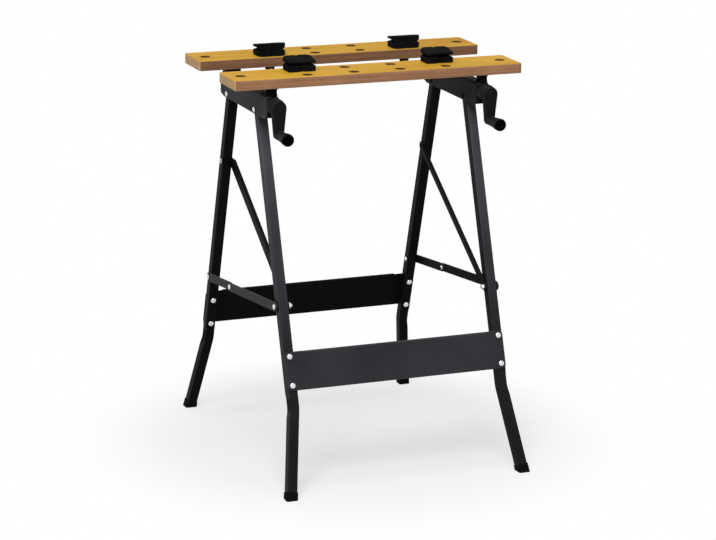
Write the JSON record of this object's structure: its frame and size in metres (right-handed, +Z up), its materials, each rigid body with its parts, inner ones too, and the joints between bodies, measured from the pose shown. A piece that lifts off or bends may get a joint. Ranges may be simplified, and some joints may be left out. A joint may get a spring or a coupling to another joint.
{
  "type": "folding workbench",
  "caption": "Folding workbench with wooden clamping jaws closed by cranked spindles, swivelling bench dogs and square-tube legs that swing forward under the top",
  "frame": {"origin": "on the floor, midway between the outermost points of the bench in X and in Y", "axes": "+Z up, +X to the right seen from the cranks, -Y towards the user at the cranks"},
  "size_m": [0.605, 0.6433, 0.8213],
  "materials": {
    "jaw_wood": "satin lacquer",
    "black_steel": "satin black powder coat",
    "black_plastic": "fine grain",
    "foot_rubber": "matte",
    "zinc_steel": "bright zinc plate"
  },
  "bodies": {
    "top_frame": {"front_jaw": "jaw_wood", "channel_left": "black_steel", "channel_right": "black_steel", "jaw_bolt_left": "zinc_steel", "jaw_bolt_right": "zinc_steel", "jaw_spacer_left": "black_plastic", "jaw_spacer_right": "black_plastic", "front_leg_pin_left": "zinc_steel", "front_leg_pin_right": "zinc_steel", "rear_leg_pin_left": "zinc_steel", "rear_leg_pin_right": "zinc_steel"},
    "moving_jaw": {"rear_jaw": "jaw_wood", "carriage_left": "black_plastic", "carriage_right": "black_plastic"},
    "drive_left": {"spindle_left": "zinc_steel", "spindle_collar_left": "zinc_steel", "crank_left": "black_plastic"},
    "drive_right": {"spindle_right": "zinc_steel", "spindle_collar_right": "zinc_steel", "crank_right": "black_plastic"},
    "knob_left": {"crank_knob_left": "black_plastic"},
    "knob_right": {"crank_knob_right": "black_plastic"},
    "bench_dog_front_left": {"dog_front_left": "black_plastic"},
    "bench_dog_front_right": {"dog_front_right": "black_plastic"},
    "bench_dog_rear_left": {"dog_rear_left": "black_plastic"},
    "bench_dog_rear_right": {"dog_rear_right": "black_plastic"},
    "front_legs": {"front_leg_left": "black_steel", "front_leg_right": "black_steel", "front_foot_left": "foot_rubber", "front_foot_right": "foot_rubber", "front_crossbar": "black_steel", "front_crossbar_bolt_upper_left": "zinc_steel", "front_crossbar_bolt_upper_right": "zinc_steel", "front_crossbar_bolt_lower_left": "zinc_steel", "front_crossbar_bolt_lower_right": "zinc_steel", "front_stay_pin_left": "zinc_steel", "front_stay_pin_right": "zinc_steel", "stay_washer_left": "black_plastic", "stay_washer_right": "black_plastic"},
    "rear_legs": {"rear_leg_left": "black_steel", "rear_leg_right": "black_steel", "rear_foot_left": "foot_rubber", "rear_foot_right": "foot_rubber", "rear_crossbar": "black_steel", "rear_crossbar_bolt_upper_left": "zinc_steel", "rear_crossbar_bolt_upper_right": "zinc_steel", "rear_crossbar_bolt_lower_left": "zinc_steel", "rear_crossbar_bolt_lower_right": "zinc_steel", "strut_pin_left": "zinc_steel", "strut_pin_right": "zinc_steel", "rear_stay_pin_left": "zinc_steel", "rear_stay_pin_right": "zinc_steel"},
    "strut_bar_left": {"strut_left": "black_steel"},
    "strut_bar_right": {"strut_right": "black_steel"},
    "stay_rear_left": {"rear_stay_left": "black_steel"},
    "stay_rear_right": {"rear_stay_right": "black_steel"},
    "stay_front_left": {"front_stay_left": "black_steel", "knee_rivet_left": "zinc_steel"},
    "stay_front_right": {"front_stay_right": "black_steel", "knee_rivet_right": "zinc_steel"}
  },
  "joints": [
    {"name": "crank_left_turn", "type": "hinge", "parent": "top_frame", "child": "drive_left", "pos_m": [-0.2225, -0.13, 0.7412], "axis": [0, 1, 0], "range_deg": [0, 8101]},
    {"name": "crank_right_turn", "type": "hinge", "parent": "top_frame", "child": "drive_right", "pos_m": [0.2225, -0.13, 0.7412], "axis": [0, 1, 0], "range_deg": [0, 8101]},
    {"name": "jaw_slide", "type": "slide", "parent": "top_frame", "child": "moving_jaw", "axis": [0, -1, 0], "range_m": [0, 0.1125]},
    {"name": "knob_left_spin", "type": "hinge", "parent": "drive_left", "child": "knob_left", "pos_m": [-0.2225, -0.19, 0.6892], "axis": [0, 1, 0], "continuous": true},
    {"name": "knob_right_spin", "type": "hinge", "parent": "drive_right", "child": "knob_right", "pos_m": [0.2225, -0.19, 0.6892], "axis": [0, 1, 0], "continuous": true},
    {"name": "dog_front_left_swivel", "type": "hinge", "parent": "top_frame", "child": "bench_dog_front_left", "pos_m": [-0.14625, -0.0635, 0.7943], "axis": [0, 0, 1], "continuous": true},
    {"name": "dog_front_right_swivel", "type": "hinge", "parent": "top_frame", "child": "bench_dog_front_right", "pos_m": [0.14625, -0.0635, 0.7943], "axis": [0, 0, 1], "continuous": true},
    {"name": "dog_rear_left_swivel", "type": "hinge", "parent": "moving_jaw", "child": "bench_dog_rear_left", "pos_m": [-0.14625, 0.0975, 0.7943], "axis": [0, 0, 1], "continuous": true},
    {"name": "dog_rear_right_swivel", "type": "hinge", "parent": "moving_jaw", "child": "bench_dog_rear_right", "pos_m": [0.14625, 0.0975, 0.7943], "axis": [0, 0, 1], "continuous": true},
    {"name": "front_legs_fold", "type": "hinge", "parent": "top_frame", "child": "front_legs", "pos_m": [0, -0.057, 0.7192], "axis": [-1, 0, 0], "range_deg": [0, 42.5]},
    {"name": "rear_legs_fold", "type": "hinge", "parent": "top_frame", "child": "rear_legs", "pos_m": [0, 0.106, 0.7192], "axis": [-1, 0, 0], "range_deg": [0, 64.6]},
    {"name": "strut_left_swing", "type": "hinge", "parent": "rear_legs", "child": "strut_bar_left", "pos_m": [-0.2112, 0.14761, 0.57197], "axis": [-1, 0, 0], "range_deg": [-43.2, 0]},
    {"name": "rear_stay_left_swing", "type": "hinge", "parent": "rear_legs", "child": "stay_rear_left", "pos_m": [-0.234, 0.22212, 0.30829], "axis": [-1, 0, 0], "range_deg": [0, 52.9]},
    {"name": "front_stay_left_swing", "type": "hinge", "parent": "front_legs", "child": "stay_front_left", "pos_m": [-0.2368, -0.18525, 0.35354], "axis": [-1, 0, 0], "range_deg": [-53.7, 0]},
    {"name": "strut_right_swing", "type": "hinge", "parent": "rear_legs", "child": "strut_bar_right", "pos_m": [0.2112, 0.14761, 0.57197], "axis": [-1, 0, 0], "range_deg": [-43.2, 0]},
    {"name": "rear_stay_right_swing", "type": "hinge", "parent": "rear_legs", "child": "stay_rear_right", "pos_m": [0.234, 0.22212, 0.30829], "axis": [-1, 0, 0], "range_deg": [0, 52.9]},
    {"name": "front_stay_right_swing", "type": "hinge", "parent": "front_legs", "child": "stay_front_right", "pos_m": [0.2368, -0.18525, 0.35354], "axis": [-1, 0, 0], "range_deg": [-53.7, 0]}
  ],
  "couplings": [
    {"joint": "crank_left_turn", "follows": "jaw_slide", "rad_per_m": 1256.6},
    {"joint": "crank_right_turn", "follows": "jaw_slide", "rad_per_m": 1256.6},
    {"joint": "rear_legs_fold", "follows": "front_legs_fold", "ratio": 1.5181},
    {"joint": "strut_left_swing", "follows": "front_legs_fold", "ratio": -1.015},
    {"joint": "rear_stay_left_swing", "follows": "front_legs_fold", "ratio": 1.2422},
    {"joint": "front_stay_left_swing", "follows": "front_legs_fold", "ratio": -1.2615},
    {"joint": "strut_right_swing", "follows": "front_legs_fold", "ratio": -1.015},
    {"joint": "rear_stay_right_swing", "follows": "front_legs_fold", "ratio": 1.2422},
    {"joint": "front_stay_right_swing", "follows": "front_legs_fold", "ratio": -1.2615}
  ]
}
